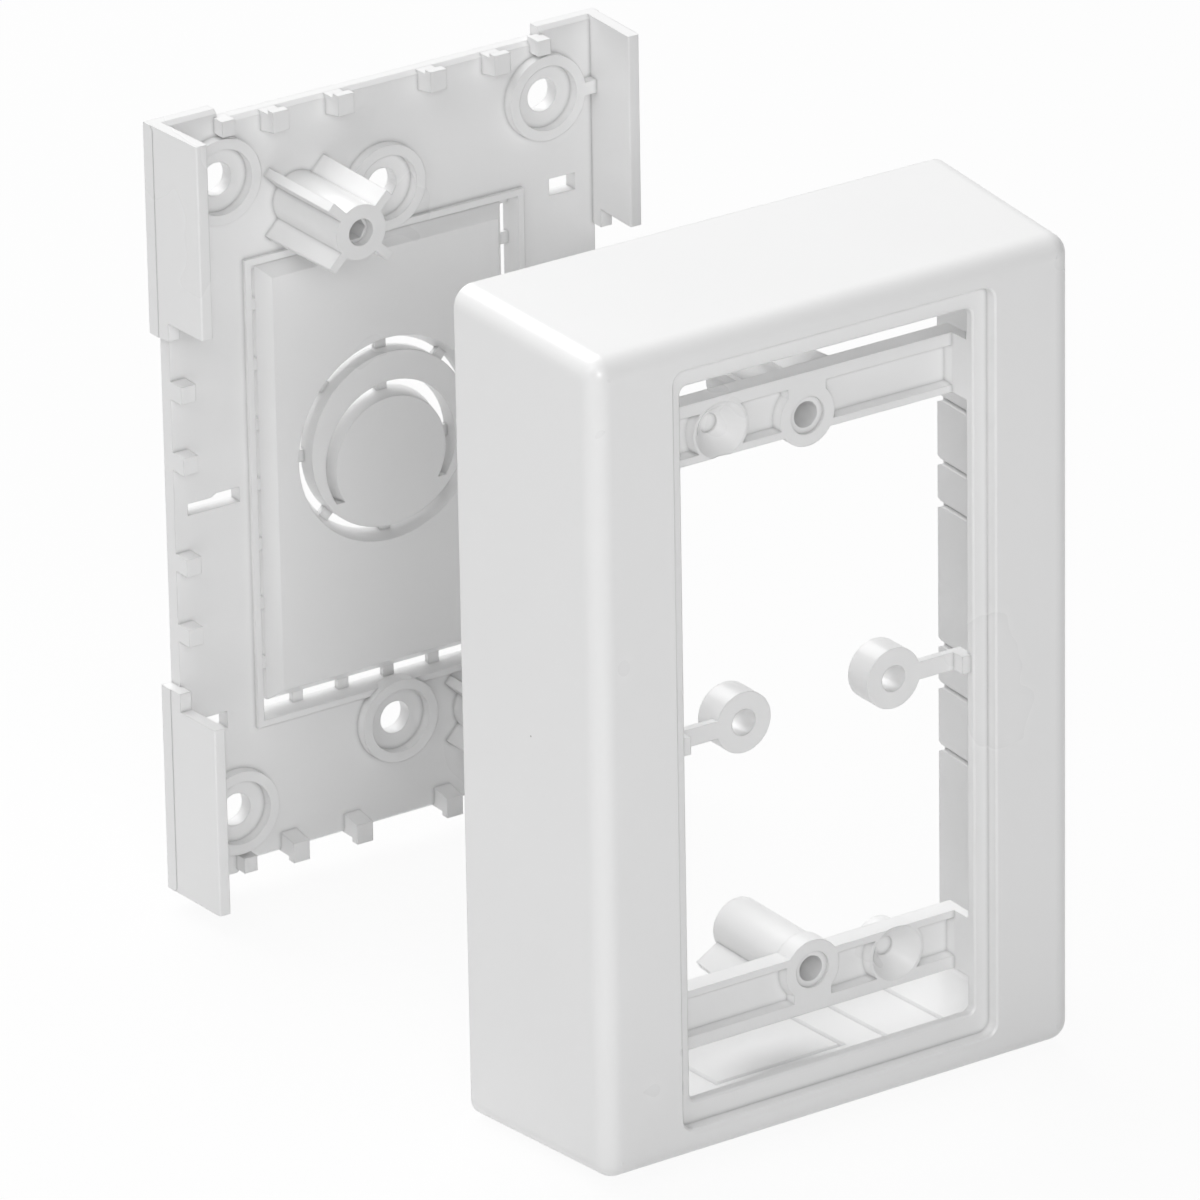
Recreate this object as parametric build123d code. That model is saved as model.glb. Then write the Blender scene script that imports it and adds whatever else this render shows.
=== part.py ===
"""One-gang surface raceway outlet box: a wall base and the box cover that slides over it.

Both mouldings are drawn lying flat, with the wall as the XY plane, +Y up the wall and +Z out of it.
They are stood up at the end: the row frame has +X to the right, +Y into the wall and +Z up.
All sizes are in millimetres.
"""
import os
from math import atan2, degrees, radians, tan

from build123d import *

os.makedirs("parts", exist_ok=True)

# Screw positions that both mouldings share
device_screw_spacing = 83.34
cover_screw_x = 14.3
cover_screw_y = 43.1

# Box cover, outside and walls
cover_width = 82.4
cover_height = 124.9
cover_depth = 31.2
cover_draft = 2.85
cover_edge_radius = 3.0
cover_wall = 2.2
cover_front_wall = 3.5
cover_inner_radius = 1.5

# Device opening and the recess that takes the faceplate
opening_width = 48.3
opening_height = 106.6
recess_margin_side = 2.35
recess_margin_end = 3.15
recess_depth = 2.0
recess_corner_radius = 1.8
opening_corner_radius = 1.2
recess_edge_chamfer = 0.3

# Device bars
bar_setback = 6.9
bar_thickness = 3.1
bar_inner_edge = 39.2
bar_height = 8.9
bar_web = 1.5
web_sink = 0.8
pocket_depth = 1.4
pocket_draft = 14
pocket_inner_rim = 1.1
pocket_outer_rim = 1.9
pocket_corner_radius = 0.6

# Device screw bosses and the tubes behind them
device_boss_radius = 4.5
device_land_width = 6.3
device_tube_radius = 4.1
device_tube_length = 18.4
device_hole_radius = 1.9
device_hole_length = 9.0
device_counterbore_radius = 2.75
device_counterbore_depth = 0.5
device_pilot_flats = 2.9
device_fin_angle = 30
device_fin_reach = 9.4
device_fin_end_reach = 8.2
device_fin_thickness = 1.1

# Conical seats for the cover screws, each closed by a thin web that the screw breaks through
seat_mouth_radius = 4.1
seat_rim = 0.45
seat_hole_radius = 1.45
seat_hole_depth = 0.45
seat_web = 0.5
seat_depth = 3.0
seat_boss_radius = 3.8
seat_boss_gap = 0.3

# Break-off spacers, moulded on a sprue from the opening's edge
spacer_offset = 12.56
spacer_radius = 4.5
spacer_bore_radius = 1.95
spacer_setback = 4.8
spacer_length = 4.5
sprue_height = 2.6
sprue_thickness = 1.2
sprue_foot = 1.4

# Knock-out grooves inside the cover's walls: half width and height of each outline
knockout_outlines = [(10.7, 16.0), (17.15, 20.0), (26.8, 24.0)]
knockout_groove_width = 0.9
knockout_groove_depth = 0.5
knockout_notch = 1.6
knockout_notch_depth = 1.0

# Wall base, plate and edges
base_clearance = 0.85
plate_thickness = 2.3
plate_edge_inset = 1.7
plate_corner_x = 27.4
plate_corner_y = 27.3
plate_bevel = 0.6
level_height = 3.0

# Corner tabs that guide the cover
tab_thickness = 1.9
tab_length = 13.0
tab_step_length = 4.6
tab_step = 2.8
tab_edge_radius = 0.3

# Hooked pegs along the inset edges
peg_offsets = [7.85, 18.8]
peg_width = 2.7
peg_length = 2.45
peg_height = 3.5
side_peg_height = 2.9
peg_ramp = 0.7
peg_hook = 0.65
peg_hook_height = 1.4
corner_peg_width = 1.7

# Wall screw holes
wall_hole_x = 27.7
wall_hole_y = 49.0
wall_hole_radius = 2.5
wall_counterbore_radius = 4.9
wall_ring_radius = 6.5
wall_ring_height = 1.7
ring_rib_width = 2.0

# Screw posts
post_radius = 4.15
post_length = 19.0
post_fin_angles = [45, 135, 225, 315]
post_fin_reach = 7.2
post_fin_end_reach = 6.9
post_fin_thickness = 1.4
post_mouth_radius = 2.0
post_mouth_depth = 1.6
post_pilot_flats = 3.0
post_floor = 1.2

# Windows in the base
window_x = 30.9
window_y = 34.5
window_width = 4.5
window_height = 2.6
side_slot_x = 29.8
side_slot_width = 8.8
side_slot_height = 2.3
side_slot_step = 0.5
side_slot_slope = 1.0

# Removable centre panel with its moat and rim
panel_width = 38.6
panel_height = 64.3
panel_bevel = 1.7
panel_edge = 0.9
moat_side = 1.15
moat_top = 0.25
moat_bottom = 1.45
moat_flare = 0.65
rim_width = 1.05
bridge_width = 1.8
bridge_pitch_x = 7.85
bridge_pitch_y = 9.3
bridge_thickness = 0.9

# Double knock-out in the panel
disc_centre_y = 2.6
disc_radius = 13.5
disc_slot = 1.1
disc_slot_flare = 1.1
disc_bridges = 8
inner_bridge_angles = [0, 90, 180]
inner_hole_radius = 11.1
inner_hole_drop = 2.1
inner_disc_radius = 10.2
inner_disc_taper = 0.75
inner_disc_drop = 3.0
inner_groove_end = 8.0

# Exploded position of the cover, in front of the base
cover_lift = 84.0

overlap = 0.5      # how far a joined feature reaches into what carries it
through = 1.0      # how far a cutter reaches past a face
tiny = 0.01        # how near a place has to be to count as the same

cover_lean = tan(radians(cover_draft))
bar_front = cover_depth - bar_setback
bar_rear = bar_front - bar_thickness
bar_outer_edge = bar_inner_edge + bar_height
bar_half_width = opening_width / 2 + bar_web
front_inner = cover_depth - cover_front_wall
recess_floor = cover_depth - recess_depth
base_width = cover_width - 2 * cover_wall - 2 * base_clearance
base_height = cover_height - 2 * cover_wall - 2 * base_clearance
device_y = device_screw_spacing / 2


def slab(x0, x1, y0, y1, z0, z1):
    """A box between two corners."""
    return Pos((x0 + x1) / 2, (y0 + y1) / 2, (z0 + z1) / 2) * Box(x1 - x0, y1 - y0, z1 - z0)


def rod(x, y, radius, z0, z1):
    """A cylinder that stands on the wall plane's normal."""
    return Pos(x, y, (z0 + z1) / 2) * Cylinder(radius, z1 - z0)


def cone(x, y, radius0, radius1, z0, z1):
    """A frustum with its two radii at the heights z0 and z1."""
    return Pos(x, y, (z0 + z1) / 2) * Cone(radius0, radius1, z1 - z0)


def tapered_block(width, height, z0, z1, angle):
    """A rectangular block whose walls lean in by an angle as it rises."""
    return extrude(Plane.XY.offset(z0) * Rectangle(width, height), amount=z1 - z0, taper=angle)


def hex_hole(x, y, flats, z0, z1):
    """A hexagonal pilot hole, given by its width across the flats."""
    outline = Plane.XY.offset(z0) * Pos(x, y) * RegularPolygon(flats / 2, 6, major_radius=False)
    return extrude(outline, amount=z1 - z0)


def fin(x, y, angle, thickness, profile):
    """A radial plate: its (radius, height) profile, turned about an upright axis."""
    side = make_face(Polyline(*[(r, z) for r, z in profile], close=True))
    plate = extrude(Plane.XZ * side, amount=thickness / 2, both=True)
    return Pos(x, y) * Rot(0, 0, angle) * plate


def point_pair(piece):
    """A feature and its copy turned half a turn about the middle, as both mouldings repeat theirs."""
    return [piece, Rot(0, 0, 180) * piece]


def side_edges(solid, size):
    """The four rising corner edges of a tapered block."""
    return [e for e in solid.edges() if abs(e.bounding_box().size.Z - size) < 1e-3]


def level_loop(solid, z, width, height):
    """The edges at one level that bound a centred cut-out of the given width and height."""
    level = solid.edges().filter_by_position(Axis.Z, z - tiny, z + tiny)
    return [e for e in level
            if abs(e.center().X) < width / 2 + tiny and abs(e.center().Y) < height / 2 + tiny]


# Box cover

def cover_shell():
    """The drafted outer shell with rounded front and corner edges, hollow from the rear."""
    outer = tapered_block(cover_width, cover_height, 0, cover_depth, cover_draft)
    soft = side_edges(outer, cover_depth) + outer.faces().sort_by(Axis.Z)[-1].edges()
    outer = fillet(soft, cover_edge_radius)
    hollow = tapered_block(cover_width - 2 * cover_wall, cover_height - 2 * cover_wall,
                           0, front_inner, cover_draft)
    hollow = fillet(side_edges(hollow, front_inner), cover_inner_radius)
    shell = outer - hollow
    recess_width = opening_width + 2 * recess_margin_side
    recess_height = opening_height + 2 * recess_margin_end
    recess = RectangleRounded(recess_width, recess_height, recess_corner_radius)
    opening = RectangleRounded(opening_width, opening_height, opening_corner_radius)
    shell -= extrude(Pos(0, 0, recess_floor) * recess, amount=recess_depth + through)
    shell -= extrude(Pos(0, 0, front_inner - through) * opening, amount=cover_front_wall + 2 * through)
    soft = level_loop(shell, cover_depth, recess_width, recess_height)
    soft += level_loop(shell, recess_floor, opening_width, opening_height)
    return chamfer(soft, recess_edge_chamfer)


def bar_pockets():
    """Drafted pockets in the upper bar's front, on both sides of the seat and of the device boss."""
    low = bar_inner_edge + pocket_inner_rim
    high = bar_outer_edge - pocket_outer_rim
    outline = Pos(0, (low + high) / 2) * Rectangle(opening_width, high - low)
    outline -= Pos(0, device_y) * Circle(device_boss_radius)
    outline -= Pos(0, (device_y + high) / 2) * Rectangle(device_land_width, high - device_y + through)
    outline -= Pos(-cover_screw_x, cover_screw_y) * Circle(seat_mouth_radius + seat_rim)
    pockets = Part()
    for face in outline.faces():
        mouth = Pos(0, 0, bar_front) * fillet(face.vertices(), pocket_corner_radius)
        pockets += extrude(mouth, amount=pocket_depth, dir=(0, 0, -1), taper=pocket_draft)
    return pockets


def device_bar():
    """The upper bar that a device screws to, with its side webs, bosses, tube and fins."""
    bar = slab(-bar_half_width, bar_half_width, bar_inner_edge, bar_outer_edge, bar_rear, bar_front)
    for side in (-1, 1):
        inner, outer = sorted((side * opening_width / 2, side * bar_half_width))
        bar += slab(inner, outer, bar_inner_edge, bar_outer_edge, bar_rear, front_inner + web_sink)
    bar -= bar_pockets()
    tube_rear = bar_rear + bar_thickness - device_tube_length
    bar += rod(0, device_y, device_boss_radius, bar_rear, bar_front)
    bar += rod(0, device_y, device_tube_radius, tube_rear, bar_rear + overlap)
    fin_profile = [(0, tube_rear + overlap), (device_fin_end_reach, tube_rear + overlap),
                   (device_fin_reach, bar_rear + overlap), (0, bar_rear + overlap)]
    for angle in (device_fin_angle, 180 - device_fin_angle):
        bar += fin(0, device_y, angle, device_fin_thickness, fin_profile)
    seat_rear = post_length + seat_boss_gap
    seat_floor = bar_front - seat_depth
    web_front = seat_floor - seat_hole_depth
    bar += rod(-cover_screw_x, cover_screw_y, seat_boss_radius, seat_rear, bar_rear + overlap)
    counterbore_floor = bar_front - device_counterbore_depth
    hole_end = bar_front - device_hole_length
    bar -= rod(0, device_y, device_counterbore_radius, counterbore_floor, bar_front + through)
    bar -= rod(0, device_y, device_hole_radius, hole_end, bar_front + through)
    bar -= hex_hole(0, device_y, device_pilot_flats, tube_rear - through, hole_end + overlap)
    bar -= cone(-cover_screw_x, cover_screw_y, seat_hole_radius, seat_mouth_radius, seat_floor, bar_front)
    bar -= rod(-cover_screw_x, cover_screw_y, seat_hole_radius, web_front, seat_floor + overlap)
    bar -= rod(-cover_screw_x, cover_screw_y, seat_hole_radius, seat_rear - through, web_front - seat_web)
    return bar


def spacer():
    """The right break-off spacer with its sprue and the foot at the opening's edge."""
    front = cover_depth - spacer_setback
    ring = rod(spacer_offset, 0, spacer_radius, front - spacer_length, front)
    edge = opening_width / 2
    ring += slab(spacer_offset, edge, -sprue_height / 2, sprue_height / 2, front - sprue_thickness, front)
    ring += slab(edge - sprue_foot, edge + overlap, -sprue_height / 2, sprue_height / 2,
                 front - sprue_thickness, front_inner + web_sink)
    return ring - rod(spacer_offset, 0, spacer_bore_radius, front - spacer_length - through, front + through)


def wall_grooves(wall_distance):
    """V grooves of the nested knock-outs on the inner face of the wall that lies towards +Y."""
    wall = Plane((0, wall_distance, 0), x_dir=(1, 0, 0), z_dir=(0, -1, -cover_lean))
    half = knockout_groove_width / 2
    deep = knockout_groove_depth
    grooves = Part()
    for half_width, height in knockout_outlines:
        path = Polyline((-half_width, -through), (-half_width, height),
                        (half_width, height), (half_width, -through))
        foot = Plane((-half_width, -through, 0), x_dir=(1, 0, 0), z_dir=(0, 1, 0))
        section = foot * make_face(Polyline((0, deep), (2 * half, -deep), (-2 * half, -deep), close=True))
        grooves += wall * sweep(section, path=path, transition=Transition.RIGHT)
        for x in (-half_width, half_width):
            notch = make_face(Polyline((x - knockout_notch / 2, 0), (x + knockout_notch / 2, 0),
                                       (x, knockout_notch), close=True))
            cutter = extrude(Plane.XZ * notch, amount=2 * knockout_notch_depth)
            grooves += Pos(0, wall_distance + knockout_notch_depth) * cutter
    return grooves


def box_cover():
    """The whole cover moulding, lying flat with its rear edge on the wall plane."""
    cover = cover_shell()
    for piece in point_pair(device_bar()) + point_pair(spacer()):
        cover += piece
    ends = wall_grooves(cover_height / 2 - cover_wall)
    sides = Rot(0, 0, -90) * wall_grooves(cover_width / 2 - cover_wall)
    for piece in point_pair(ends) + point_pair(sides):
        cover -= piece
    return cover


# Wall base

def base_plate():
    """The plate with full corners, inset edges and bevelled ends."""
    w, h, inset = base_width / 2, base_height / 2, plate_edge_inset
    outline = Rectangle(base_width, base_height)
    for side in (-1, 1):
        outline -= Pos(side * w, 0) * Rectangle(2 * inset, 2 * plate_corner_y)
        outline -= Pos(0, side * h) * Rectangle(2 * plate_corner_x, 2 * inset)
    plate = extrude(outline, amount=plate_thickness)
    ends = [e for e in plate.faces().sort_by(Axis.Z)[-1].edges()
            if abs(e.bounding_box().size.Y) < 1e-6 and abs(e.center().Y) > plate_corner_y + inset]
    return chamfer(ends, plate_bevel)


def corner_tab():
    """The upper right tab: a low step towards the middle and a long leaning wall at the corner."""
    w, h = base_width / 2, base_height / 2
    run = (plate_corner_y, plate_corner_y + tab_step)
    lean = cover_lean * tab_length
    side = make_face(Polyline((run[0], 0), (h, 0), (h, tab_length), (run[1], tab_length),
                              (run[1], tab_step_length), (run[0], tab_step_length), close=True))
    wall = extrude(Plane.YZ * side, amount=w)
    section = make_face(Polyline((w - tab_thickness, 0), (w, 0), (w - lean, tab_length),
                                 (w - lean - tab_thickness, tab_length), close=True))
    length = h - plate_corner_y + 2 * through
    leaning = Pos(0, h + through) * extrude(Plane.XZ * section, amount=length)
    tab = wall & leaning
    front = tab.faces().sort_by(Axis.Z)[-1]
    long_edges = [e for e in front.edges() if e.bounding_box().size.Y > tab_thickness + tab_edge_radius]
    return fillet(long_edges, tab_edge_radius)


def pegs():
    """Hooked pegs on all four inset edges, and the small ones beside the corners."""
    made = Part()
    base = plate_thickness - overlap
    for turn, edge, corner in ((0, base_height / 2 - plate_edge_inset, plate_corner_x),
                               (90, base_width / 2 - plate_edge_inset, None),
                               (180, base_height / 2 - plate_edge_inset, plate_corner_x),
                               (270, base_width / 2 - plate_edge_inset, None)):
        if corner:
            top = plate_thickness + peg_height
            hook_base = top - peg_hook_height
            profile = [(edge - peg_length - peg_ramp, base), (edge, base), (edge, hook_base),
                       (edge + peg_hook, hook_base), (edge + peg_hook, top), (edge - peg_length, top)]
        else:
            top = plate_thickness + side_peg_height
            profile = [(edge - peg_length, base), (edge, base), (edge, top), (edge - peg_length, top)]
        face = Plane.YZ * make_face(Polyline(*profile, close=True))
        body = extrude(face, amount=peg_width / 2, both=True)
        for offset in peg_offsets:
            for side in (-1, 1):
                made += Rot(0, 0, turn) * Pos(side * offset, 0) * body
        if corner:
            for side in (-1, 1):
                inner, outer = sorted((side * corner, side * (corner - corner_peg_width)))
                block = slab(inner - overlap * (side < 0), outer + overlap * (side > 0),
                             edge - corner_peg_width, edge + peg_hook, base, tab_step_length)
                made += Rot(0, 0, turn) * block
    return made


def wall_screw_ring(x, y):
    """The raised ring round a wall screw hole, and what is cut out of it."""
    ring = rod(x, y, wall_ring_radius, plate_thickness - overlap, plate_thickness + wall_ring_height)
    hole = rod(x, y, wall_hole_radius, -through, level_height + through)
    hole += rod(x, y, wall_counterbore_radius, plate_thickness, plate_thickness + wall_ring_height + through)
    return ring, hole


def ring_rib():
    """The rib from the upper right corner hole to the wall of its tab, before the hole is cut."""
    return slab(wall_hole_x, base_width / 2 - tab_thickness + overlap,
                wall_hole_y - ring_rib_width / 2, wall_hole_y + ring_rib_width / 2,
                plate_thickness - overlap, plate_thickness + wall_ring_height)


def side_slot():
    """The right side slot, which is lower over its outer half."""
    inner, outer = side_slot_x - side_slot_width / 2, side_slot_x + side_slot_width / 2
    low, high = -side_slot_height / 2, side_slot_height / 2
    outline = make_face(Polyline((inner, low), (side_slot_x - side_slot_slope / 2, low),
                                 (side_slot_x + side_slot_slope / 2, low + side_slot_step),
                                 (outer, low + side_slot_step), (outer, high), (inner, high), close=True))
    return Pos(0, 0, -through) * extrude(outline, amount=plate_thickness + 2 * through)


def screw_post():
    """The upper left post that takes a cover screw, with four diagonal fins."""
    x, y = -cover_screw_x, cover_screw_y
    post = rod(x, y, post_radius, plate_thickness - overlap, post_length)
    profile = [(0, plate_thickness - overlap), (post_fin_reach, plate_thickness - overlap),
               (post_fin_end_reach, post_length), (0, post_length)]
    for angle in post_fin_angles:
        post += fin(x, y, angle, post_fin_thickness, profile)
    hole = rod(x, y, post_mouth_radius, post_length - post_mouth_depth, post_length + through)
    hole += hex_hole(x, y, post_pilot_flats, post_floor, post_length - post_mouth_depth + overlap)
    return post, hole


def centre_panel(plate):
    """Cuts the moat into the plate, and adds the rim, the bevelled panel and its bridges."""
    edge_x = panel_width / 2 + panel_bevel
    edge_y = panel_height / 2 + panel_bevel
    side = edge_x + moat_side
    top = edge_y + moat_top
    bottom = edge_y + moat_bottom
    moat_shape = Pos(0, (top - bottom) / 2) * Rectangle(2 * side, top + bottom)
    flare = degrees(atan2(moat_flare, level_height))
    moat = extrude(moat_shape, amount=level_height + through, taper=-flare)
    reach = moat_flare + rim_width
    rim = slab(-side - reach, side + reach, -bottom - reach, top + reach, 0, level_height)
    angle = degrees(atan2(panel_bevel, level_height - panel_edge))
    panel = extrude(Rectangle(2 * edge_x, 2 * edge_y), amount=panel_edge)
    panel += tapered_block(2 * edge_x, 2 * edge_y, panel_edge, level_height, angle)
    body = plate + rim - moat + panel
    columns = int((edge_x + overlap) / bridge_pitch_x)
    for i in range(-columns, columns + 1):
        x = i * bridge_pitch_x
        body += slab(x - bridge_width / 2, x + bridge_width / 2, -bottom - overlap, -edge_y + overlap,
                     0, bridge_thickness)
    rows = int((edge_y + overlap) / bridge_pitch_y)
    for i in range(-rows, rows + 1):
        y = i * bridge_pitch_y
        for sign in (-1, 1):
            inner, outer = sorted((sign * (edge_x - overlap), sign * (side + overlap)))
            body += slab(inner, outer, y - bridge_width / 2, y + bridge_width / 2, 0, bridge_thickness)
    body += slab(-side - overlap, side + overlap, edge_y - overlap, top + overlap, 0, bridge_thickness)
    return body


def knock_outs(body):
    """Cuts the ring slot and the eccentric crescent slot, and adds the bridges that hold them."""
    cy = disc_centre_y
    slot_back = disc_radius + disc_slot
    lift = disc_slot_flare / level_height * through
    ring = cone(0, cy, slot_back - lift, slot_back + disc_slot_flare + lift,
                -through, level_height + through)
    ring -= rod(0, cy, disc_radius, -2 * through, level_height + 2 * through)
    hole_y = cy - inner_hole_drop
    groove = rod(0, hole_y, inner_hole_radius, -through, level_height + through)
    slope = inner_disc_taper / level_height * through
    groove -= cone(0, cy - inner_disc_drop, inner_disc_radius + slope,
                   inner_disc_radius - inner_disc_taper - slope, -through, level_height + through)
    keep = slab(-2 * disc_radius, 2 * disc_radius, cy - inner_groove_end, cy + 2 * disc_radius,
                -2 * through, level_height + 2 * through)
    body = body - ring - (groove & keep)
    bridge = slab(disc_radius - overlap, slot_back + overlap, -bridge_width / 2, bridge_width / 2,
                  0, bridge_thickness)
    for i in range(disc_bridges):
        body += Pos(0, cy) * Rot(0, 0, 360 / disc_bridges * i) * bridge
    inner_bridge = slab(inner_disc_radius - 2 * inner_disc_taper, inner_hole_radius + inner_disc_taper,
                        -bridge_width / 2, bridge_width / 2, 0, bridge_thickness)
    for angle in inner_bridge_angles:
        body += Pos(0, hole_y) * Rot(0, 0, angle) * inner_bridge
    return body


def wall_base():
    """The whole base moulding, lying flat on the wall plane."""
    body = centre_panel(base_plate())
    body = knock_outs(body)
    tab = corner_tab()
    rib = ring_rib()
    for piece in point_pair(tab) + point_pair(mirror(tab, Plane.YZ)):
        body += piece
    for piece in point_pair(rib) + point_pair(mirror(rib, Plane.YZ)):
        body += piece
    body += pegs()
    post, post_hole = screw_post()
    for piece in point_pair(post):
        body += piece
    holes = [(x, y) for x in (-wall_hole_x, wall_hole_x) for y in (-wall_hole_y, wall_hole_y)]
    holes += [(0, -device_y), (0, device_y)]
    for x, y in holes:
        ring, hole = wall_screw_ring(x, y)
        body = body + ring - hole
    for piece in point_pair(post_hole):
        body -= piece
    window = slab(window_x - window_width / 2, window_x + window_width / 2,
                  window_y - window_height / 2, window_y + window_height / 2,
                  -through, plate_thickness + through)
    for piece in point_pair(window) + point_pair(side_slot()):
        body -= piece
    return body


stand_up = Rot(90, 0, 0)
nodes = {
    "wall_base": stand_up * wall_base(),
    "box_cover": stand_up * Pos(0, 0, cover_lift) * box_cover(),
}
for name, solid in nodes.items():
    export_step(solid, f"parts/{name}.step")
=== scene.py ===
"""Surface raceway outlet box: the finish of both mouldings and the studio round them.

Lengths are in metres in the model's own frame. +X is to the right, +Y into the wall and +Z up, and the
origin is the middle of the wall base's back. The cover hangs in front of the base, lifted off it.
"""
import math

import bpy
from mathutils import Matrix, Vector


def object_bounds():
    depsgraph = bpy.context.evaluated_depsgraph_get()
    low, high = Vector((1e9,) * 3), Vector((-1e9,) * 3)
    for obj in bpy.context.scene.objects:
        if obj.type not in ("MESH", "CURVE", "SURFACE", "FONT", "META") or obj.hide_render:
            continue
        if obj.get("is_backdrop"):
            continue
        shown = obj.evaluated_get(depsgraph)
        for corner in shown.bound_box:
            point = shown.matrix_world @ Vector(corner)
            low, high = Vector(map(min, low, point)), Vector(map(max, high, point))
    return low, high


bl_info = {
    "name": "Outlet Box Studio",
    "version": (1, 0, 0),
    "blender": (4, 5, 0),
    "location": "3D View > Sidebar > Outlet Box",
    "description": "Dresses a surface outlet box in moulded plastic and lights it in a white studio",
    "category": "Object",
}

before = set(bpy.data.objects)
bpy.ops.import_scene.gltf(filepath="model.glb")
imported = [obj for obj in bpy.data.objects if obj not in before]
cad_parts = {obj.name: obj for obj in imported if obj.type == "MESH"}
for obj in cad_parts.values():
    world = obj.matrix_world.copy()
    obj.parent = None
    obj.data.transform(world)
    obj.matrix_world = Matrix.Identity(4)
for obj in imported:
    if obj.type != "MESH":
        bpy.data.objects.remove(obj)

LOWEST, HIGHEST = (Vector(corner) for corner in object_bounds())
MIDDLE = (LOWEST + HIGHEST) / 2
MM = 0.001

# Most of a noise texture's values lie in this range
NOISE_RANGE = (0.3, 0.7)
# Openness of an inner corner, where the painted shade is full, and of a place from which it has faded
OPEN_RANGE = (0.35, 0.9)
# Share of a speck's radius that has its full colour
SPECK_CORE = 0.6
# The mouldings take their patterns from different places
PATTERN_SHIFT = {"box_cover": (0.0, 0.0, 0.0), "wall_base": (0.31, 0.17, 0.05)}
EDGE_SAMPLES = 3
# Samples of the ambient occlusion that places the painted shade in grooves and corners
PAINTED_SHADE_SAMPLES = 5


class FinishSettings(bpy.types.PropertyGroup):
    """Look of the moulded plastic."""
    colour: bpy.props.FloatVectorProperty(
        name="Colour", description="Colour of the moulded plastic", subtype="COLOR",
        size=3, min=0, max=1, default=(0.90, 0.90, 0.90))
    roughness: bpy.props.FloatProperty(
        name="Roughness", description="Roughness of the satin skin", subtype="FACTOR",
        min=0, max=1, default=0.28)
    gloss_spread: bpy.props.FloatProperty(
        name="Gloss spread", description="How far the flow clouds change the roughness",
        subtype="FACTOR", min=0, max=1, default=0.01)
    ior: bpy.props.FloatProperty(
        name="IOR", description="Refractive index of the plastic", min=1, default=1.52)
    grain_size: bpy.props.FloatProperty(
        name="Grain size", description="Size of the fine grain left by the mould", unit="LENGTH",
        min=0, default=0.35 * MM)
    grain_depth: bpy.props.FloatProperty(
        name="Grain depth", description="Depth of the fine grain", unit="LENGTH",
        min=0, default=0.002 * MM)
    sink_size: bpy.props.FloatProperty(
        name="Sink size", description="Width of the shallow waves left by shrinkage", unit="LENGTH",
        min=0, default=22 * MM)
    sink_depth: bpy.props.FloatProperty(
        name="Sink depth", description="Depth of the shrinkage waves", unit="LENGTH",
        min=0, default=0.05 * MM)
    speck_spacing: bpy.props.FloatProperty(
        name="Speck spacing", description="Mean distance between specks in the plastic", unit="LENGTH",
        min=0, default=15 * MM)
    speck_radius: bpy.props.FloatProperty(
        name="Speck radius", description="Radius of a speck", unit="LENGTH",
        min=0, default=0.16 * MM)
    speck_colour: bpy.props.FloatVectorProperty(
        name="Speck colour", description="Colour of the specks", subtype="COLOR",
        size=3, min=0, max=1, default=(0.33, 0.32, 0.31))
    cloud_size: bpy.props.FloatProperty(
        name="Cloud size", description="Width of the faint flow clouds", unit="LENGTH",
        min=0, default=36.667 * MM)
    cloud_contrast: bpy.props.FloatProperty(
        name="Cloud contrast", description="How far the flow clouds change the colour",
        subtype="FACTOR", min=0, max=1, default=0.008)
    edge_radius: bpy.props.FloatProperty(
        name="Edge radius", description="Rounding of the moulded edges", unit="LENGTH",
        min=0, default=0.22 * MM)
    # Painted shade: the next two settings darken the colour in grooves and inner corners where shade
    # falls. The plastic itself is no darker there.
    painted_shade_reach: bpy.props.FloatProperty(
        name="Crevice reach", description="How far from an inner corner the shade begins", unit="LENGTH",
        min=0, default=0.7 * MM)
    # Painted shade: the brightness the colour is brought down to deep in grooves and corners
    painted_crevice_shade: bpy.props.FloatProperty(
        name="Crevice shade", description="Brightness of the plastic deep in grooves and corners",
        subtype="FACTOR", min=0, max=1, default=0.66)


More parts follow.
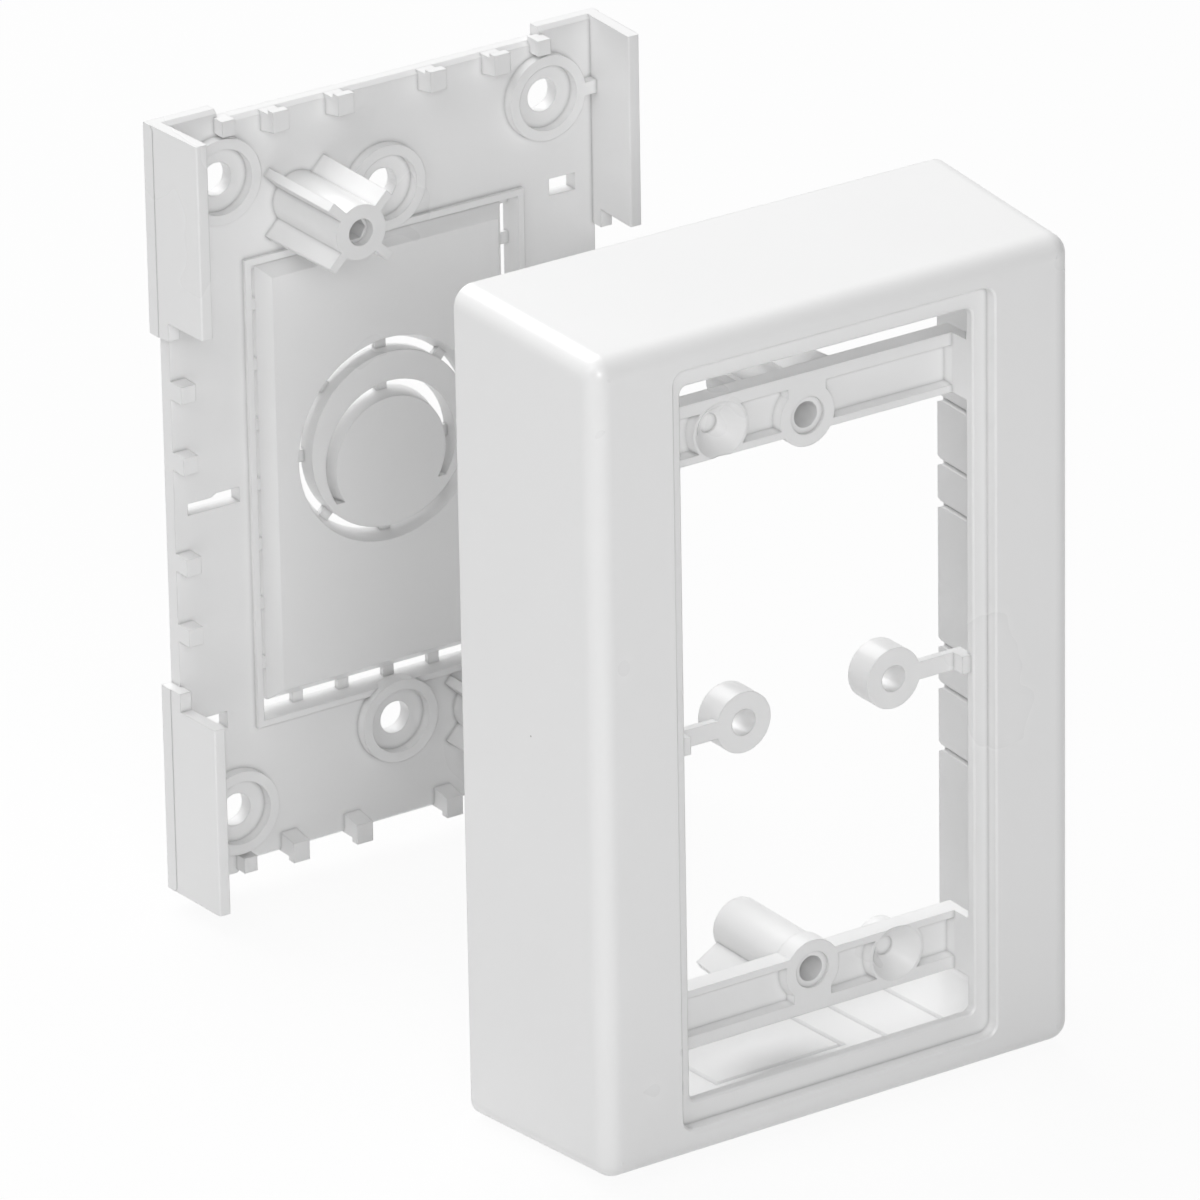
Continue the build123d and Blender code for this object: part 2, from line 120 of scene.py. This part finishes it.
class StageSettings(bpy.types.PropertyGroup):
    """Camera, floor, sky and lamps."""
    azimuth: bpy.props.FloatProperty(
        name="Azimuth", description="Camera angle round the upright axis, from straight in front",
        subtype="ANGLE", default=math.radians(-33.70))
    elevation: bpy.props.FloatProperty(
        name="Elevation", description="Camera angle above the floor", subtype="ANGLE",
        default=math.radians(23.57))
    roll: bpy.props.FloatProperty(
        name="Roll", description="Camera turn about its own axis", subtype="ANGLE",
        default=math.radians(-0.98))
    lens: bpy.props.FloatProperty(
        name="Lens", description="Focal length on a 36 mm sensor, in millimetres", default=356.0)
    distance: bpy.props.FloatProperty(
        name="Distance", description="Camera distance from its target", unit="LENGTH", default=1.621)
    target: bpy.props.FloatVectorProperty(
        name="Target", description="Point that the camera looks at", subtype="TRANSLATION", size=3,
        default=(-0.0257, -0.0952, 0.0163))
    floor_colour: bpy.props.FloatVectorProperty(
        name="Floor colour", description="Colour of the floor", subtype="COLOR", size=3,
        min=0, max=1, default=(0.86, 0.86, 0.86))
    floor_size: bpy.props.FloatProperty(
        name="Floor size", description="Width of the floor", unit="LENGTH", default=40.0)
    floor_glow: bpy.props.FloatProperty(
        name="Floor glow", description="Share of plain white in what the camera sees of the floor",
        subtype="FACTOR", min=0, max=1, default=0.93)
    sky: bpy.props.FloatProperty(
        name="Sky", description="Strength of the even light from all sides", min=0, default=0.07)
    lamp_distance: bpy.props.FloatProperty(
        name="Lamp distance", description="Distance of the lamps from the object's middle", unit="LENGTH",
        default=1.3)
    front_power: bpy.props.FloatProperty(
        name="Front power", description="Power of the lamp in front", unit="POWER", default=6.1)
    front_size: bpy.props.FloatProperty(
        name="Front size", description="Width of the lamp in front", unit="LENGTH", default=0.5)
    front_azimuth: bpy.props.FloatProperty(
        name="Front azimuth", description="Azimuth of the lamp in front", subtype="ANGLE",
        default=math.radians(-26))
    front_elevation: bpy.props.FloatProperty(
        name="Front elevation", description="Elevation of the lamp in front", subtype="ANGLE",
        default=math.radians(24))
    left_power: bpy.props.FloatProperty(
        name="Left power", description="Power of the lamp at the left", unit="POWER", default=4.5)
    left_size: bpy.props.FloatProperty(
        name="Left size", description="Width of the lamp at the left", unit="LENGTH", default=1.0)
    left_azimuth: bpy.props.FloatProperty(
        name="Left azimuth", description="Azimuth of the lamp at the left", subtype="ANGLE",
        default=math.radians(-75))
    left_elevation: bpy.props.FloatProperty(
        name="Left elevation", description="Elevation of the lamp at the left", subtype="ANGLE",
        default=math.radians(50))
    back_power: bpy.props.FloatProperty(
        name="Back power", description="Power of the lamp behind and above", unit="POWER", default=13.2)
    back_size: bpy.props.FloatProperty(
        name="Back size", description="Width of the lamp behind and above", unit="LENGTH", default=1.0)
    back_azimuth: bpy.props.FloatProperty(
        name="Back azimuth", description="Azimuth of the lamp behind and above", subtype="ANGLE",
        default=math.radians(180))
    back_elevation: bpy.props.FloatProperty(
        name="Back elevation", description="Elevation of the lamp behind and above", subtype="ANGLE",
        default=math.radians(60))


def socket(sockets, identifier):
    """The one of a node's sockets that has the identifier."""
    return next(s for s in sockets if s.identifier == identifier)


def node_maker(tree):
    """Returns a function that adds a node to the tree, sets its inputs and links the given outputs."""
    def add(kind, inputs=None, **settings):
        node = tree.nodes.new(kind)
        for name, value in settings.items():
            setattr(node, name, value)
        for identifier, value in (inputs or {}).items():
            end = socket(node.inputs, identifier)
            if isinstance(value, bpy.types.NodeSocket):
                tree.links.new(value, end)
            else:
                end.default_value = value
        return node
    return add


def empty_material(name):
    """A new node material, its node maker and its output node."""
    material = bpy.data.materials.new(name)
    material.use_nodes = True
    material.node_tree.nodes.clear()
    add = node_maker(material.node_tree)
    return material, add, add("ShaderNodeOutputMaterial")


def noise(add, place, size, detail):
    """Soft random pattern in space, whose features have the given size."""
    texture = add("ShaderNodeTexNoise", {"Vector": place, "Scale": 1 / size, "Detail": detail})
    return texture.outputs["Fac"]


def stretched(add, value, low, high, new_low, new_high):
    """Maps the range from low to high to a new one, and stays at the new one's ends outside it."""
    node = add("ShaderNodeMapRange", {"Value": value, "From Min": low, "From Max": high,
                                      "To Min": new_low, "To Max": new_high})
    return node.outputs["Result"]


def mixed(add, factor, first, second, blend="MIX"):
    """The first colour with the second one blended over it."""
    node = add("ShaderNodeMix", {"Factor_Float": factor, "A_Color": first, "B_Color": second},
               data_type="RGBA", blend_type=blend)
    return socket(node.outputs, "Result_Color")


def plastic_colour(add, place, clouds, finish):
    """White with faint flow clouds, a few dark specks, and painted shade in grooves and inner corners."""
    dark = [channel * (1 - finish.cloud_contrast) for channel in finish.colour]
    light = [channel * (1 + finish.cloud_contrast) for channel in finish.colour]
    colour = mixed(add, stretched(add, clouds, *NOISE_RANGE, 0, 1), (*dark, 1), (*light, 1))
    specks = add("ShaderNodeTexVoronoi", {"Vector": place, "Scale": 1 / finish.speck_spacing})
    rim = finish.speck_radius / finish.speck_spacing
    in_speck = stretched(add, specks.outputs["Distance"], SPECK_CORE * rim, rim, 1, 0)
    colour = mixed(add, in_speck, colour, (*finish.speck_colour, 1))
    # Painted shade: ambient occlusion darkens the colour in grooves and inner corners, where shade falls
    openness = add("ShaderNodeAmbientOcclusion", {"Distance": finish.painted_shade_reach},
                   samples=PAINTED_SHADE_SAMPLES, only_local=True)
    shade = stretched(add, openness.outputs["AO"], *OPEN_RANGE, finish.painted_crevice_shade, 1)
    return mixed(add, 1, colour, shade, "MULTIPLY")


def plastic_normal(add, place, finish):
    """Surface direction with soft edges, wide sink waves and fine grain."""
    soft = add("ShaderNodeBevel", {"Radius": finish.edge_radius}, samples=EDGE_SAMPLES)
    waves = noise(add, place, finish.sink_size, detail=1)
    wavy = add("ShaderNodeBump", {"Height": waves, "Distance": finish.sink_depth,
                                  "Normal": soft.outputs["Normal"]})
    grain = noise(add, place, finish.grain_size, detail=2)
    grainy = add("ShaderNodeBump", {"Height": grain, "Distance": finish.grain_depth,
                                    "Normal": wavy.outputs["Normal"]})
    return grainy.outputs["Normal"]


def moulded_plastic(name, finish, shift):
    """Satin white plastic, whose patterns are taken from a shifted place."""
    material, add, output = empty_material(name)
    place = add("ShaderNodeTexCoord").outputs["Object"]
    place = add("ShaderNodeMapping", {"Vector": place, "Location": shift}).outputs["Vector"]
    clouds = noise(add, place, finish.cloud_size, detail=3)
    roughness = stretched(add, clouds, *NOISE_RANGE, finish.roughness - finish.gloss_spread,
                          finish.roughness + finish.gloss_spread)
    shader = add("ShaderNodeBsdfPrincipled", {
        "Base Color": plastic_colour(add, place, clouds, finish),
        "Roughness": roughness,
        "IOR": finish.ior,
        "Normal": plastic_normal(add, place, finish)})
    material.node_tree.links.new(shader.outputs["BSDF"], output.inputs["Surface"])
    return material


def dress_moulding(context, node_name, material_name):
    """Gives a moulding its own plastic."""
    finish = context.scene.outletbox_finish
    material = moulded_plastic(material_name, finish, PATTERN_SHIFT[node_name])
    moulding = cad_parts[node_name]
    moulding.data.materials.clear()
    moulding.data.materials.append(material)


class OUTLETBOX_OT_dress_cover(bpy.types.Operator):
    """Give the box cover its moulded finish"""
    bl_idname = "outletbox.dress_cover"
    bl_label = "Dress Cover"

    def execute(self, context):
        dress_moulding(context, "box_cover", "cover_plastic")
        return {"FINISHED"}


class OUTLETBOX_OT_dress_base(bpy.types.Operator):
    """Give the wall base its moulded finish"""
    bl_idname = "outletbox.dress_base"
    bl_label = "Dress Base"

    def execute(self, context):
        dress_moulding(context, "wall_base", "base_plastic")
        return {"FINISHED"}


def seen_directly(add):
    """1 on rays from the camera, a glossy surface or a clear one, and 0 on rays that carry soft light."""
    path = add("ShaderNodeLightPath")
    seen = add("ShaderNodeMath", {"Value": path.outputs["Is Camera Ray"],
                                  "Value_001": path.outputs["Is Glossy Ray"]}, operation="MAXIMUM")
    seen = add("ShaderNodeMath", {"Value": seen.outputs["Value"],
                                  "Value_001": path.outputs["Is Transmission Ray"]}, operation="MAXIMUM")
    return seen.outputs["Value"]


def floor_material(stage):
    """Pale floor that the camera sees as white, with the soft shadow kept in a share of it."""
    material, add, output = empty_material("floor_white")
    plain = add("ShaderNodeBsdfDiffuse", {"Color": (*stage.floor_colour, 1)})
    glow = add("ShaderNodeEmission", {"Color": (1, 1, 1, 1), "Strength": 1.0})
    share = add("ShaderNodeMath", {"Value": seen_directly(add), "Value_001": stage.floor_glow},
                operation="MULTIPLY")
    mix = add("ShaderNodeMixShader", {"Fac": share.outputs["Value"], "Shader": plain.outputs["BSDF"],
                                      "Shader_001": glow.outputs["Emission"]})
    material.node_tree.links.new(mix.outputs["Shader"], output.inputs["Surface"])
    return material


def add_floor(stage):
    """A flat square floor under the lowest point of the object."""
    half = stage.floor_size / 2
    corners = [(-half, -half), (half, -half), (half, half), (-half, half)]
    mesh = bpy.data.meshes.new("floor")
    mesh.from_pydata([(x, y, LOWEST.z) for x, y in corners], [], [(0, 1, 2, 3)])
    mesh.materials.append(floor_material(stage))
    floor = bpy.data.objects.new("floor", mesh)
    bpy.context.scene.collection.objects.link(floor)
    floor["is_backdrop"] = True


def direction(azimuth, elevation):
    """Unit vector from the object towards an azimuth, 0 being straight in front, and an elevation."""
    level = math.cos(elevation)
    return Vector((math.sin(azimuth) * level, -math.cos(azimuth) * level, math.sin(elevation)))


def add_lamp(stage, side):
    """A square soft lamp on one side of the object, which faces the object's middle."""
    light = bpy.data.lights.new(f"{side}_lamp", "AREA")
    light.energy = getattr(stage, f"{side}_power")
    light.size = getattr(stage, f"{side}_size")
    away = direction(getattr(stage, f"{side}_azimuth"), getattr(stage, f"{side}_elevation"))
    lamp = bpy.data.objects.new(light.name, light)
    lamp.location = MIDDLE + stage.lamp_distance * away
    lamp.rotation_euler = away.to_track_quat("Z", "Y").to_euler()
    bpy.context.scene.collection.objects.link(lamp)


def add_sky(stage):
    """Even light from all sides, which the camera and reflections see as white."""
    world = bpy.data.worlds.new("studio")
    world.use_nodes = True
    world.node_tree.nodes.clear()
    add = node_maker(world.node_tree)
    strength = add("ShaderNodeMapRange", {"Value": seen_directly(add), "To Min": stage.sky, "To Max": 1.0})
    light = add("ShaderNodeBackground", {"Color": (1, 1, 1, 1), "Strength": strength.outputs["Result"]})
    add("ShaderNodeOutputWorld", {"Surface": light.outputs["Background"]})
    bpy.context.scene.world = world


def add_camera(stage):
    """The camera looks at its target from an azimuth and an elevation, then rolls about its own axis."""
    back = direction(stage.azimuth, stage.elevation)
    level = Vector((math.cos(stage.azimuth), math.sin(stage.azimuth), 0))
    upright = back.cross(level)
    right = math.cos(stage.roll) * level + math.sin(stage.roll) * upright
    up = math.cos(stage.roll) * upright - math.sin(stage.roll) * level
    data = bpy.data.cameras.new("camera")
    data.lens = stage.lens
    camera = bpy.data.objects.new("camera", data)
    place = Vector(stage.target) + stage.distance * back
    camera.matrix_world = Matrix.Translation(place) @ Matrix((right, up, back)).transposed().to_4x4()
    bpy.context.scene.collection.objects.link(camera)
    bpy.context.scene.camera = camera


class OUTLETBOX_OT_build_stage(bpy.types.Operator):
    """Set up the white floor, the soft lamps and the camera"""
    bl_idname = "outletbox.build_stage"
    bl_label = "Build Stage"

    def execute(self, context):
        stage = context.scene.outletbox_stage
        add_floor(stage)
        add_sky(stage)
        for side in ("front", "left", "back"):
            add_lamp(stage, side)
        add_camera(stage)
        context.scene.view_settings.view_transform = "Standard"
        return {"FINISHED"}


OPERATORS = (OUTLETBOX_OT_dress_cover, OUTLETBOX_OT_dress_base, OUTLETBOX_OT_build_stage)


class OUTLETBOX_PT_studio(bpy.types.Panel):
    """Sizes, colours and build steps of the outlet box"""
    bl_idname = "OUTLETBOX_PT_studio"
    bl_label = "Outlet Box"
    bl_space_type = "VIEW_3D"
    bl_region_type = "UI"
    bl_category = "Outlet Box"

    def draw(self, context):
        for settings in (context.scene.outletbox_finish, context.scene.outletbox_stage):
            box = self.layout.box()
            for name in settings.__annotations__:
                box.prop(settings, name)
        for operator in OPERATORS:
            self.layout.operator(operator.bl_idname)


CLASSES = (FinishSettings, StageSettings, *OPERATORS, OUTLETBOX_PT_studio)


def register():
    """Adds the classes and their settings to Blender."""
    for cls in CLASSES:
        bpy.utils.register_class(cls)
    bpy.types.Scene.outletbox_finish = bpy.props.PointerProperty(type=FinishSettings)
    bpy.types.Scene.outletbox_stage = bpy.props.PointerProperty(type=StageSettings)


def unregister():
    """Takes the classes and their settings out of Blender again."""
    del bpy.types.Scene.outletbox_stage
    del bpy.types.Scene.outletbox_finish
    for cls in reversed(CLASSES):
        bpy.utils.unregister_class(cls)


def main():
    """Builds the whole scene."""
    register()
    bpy.ops.outletbox.dress_cover()
    bpy.ops.outletbox.dress_base()
    bpy.ops.outletbox.build_stage()


if __name__ == "__main__":
    main()
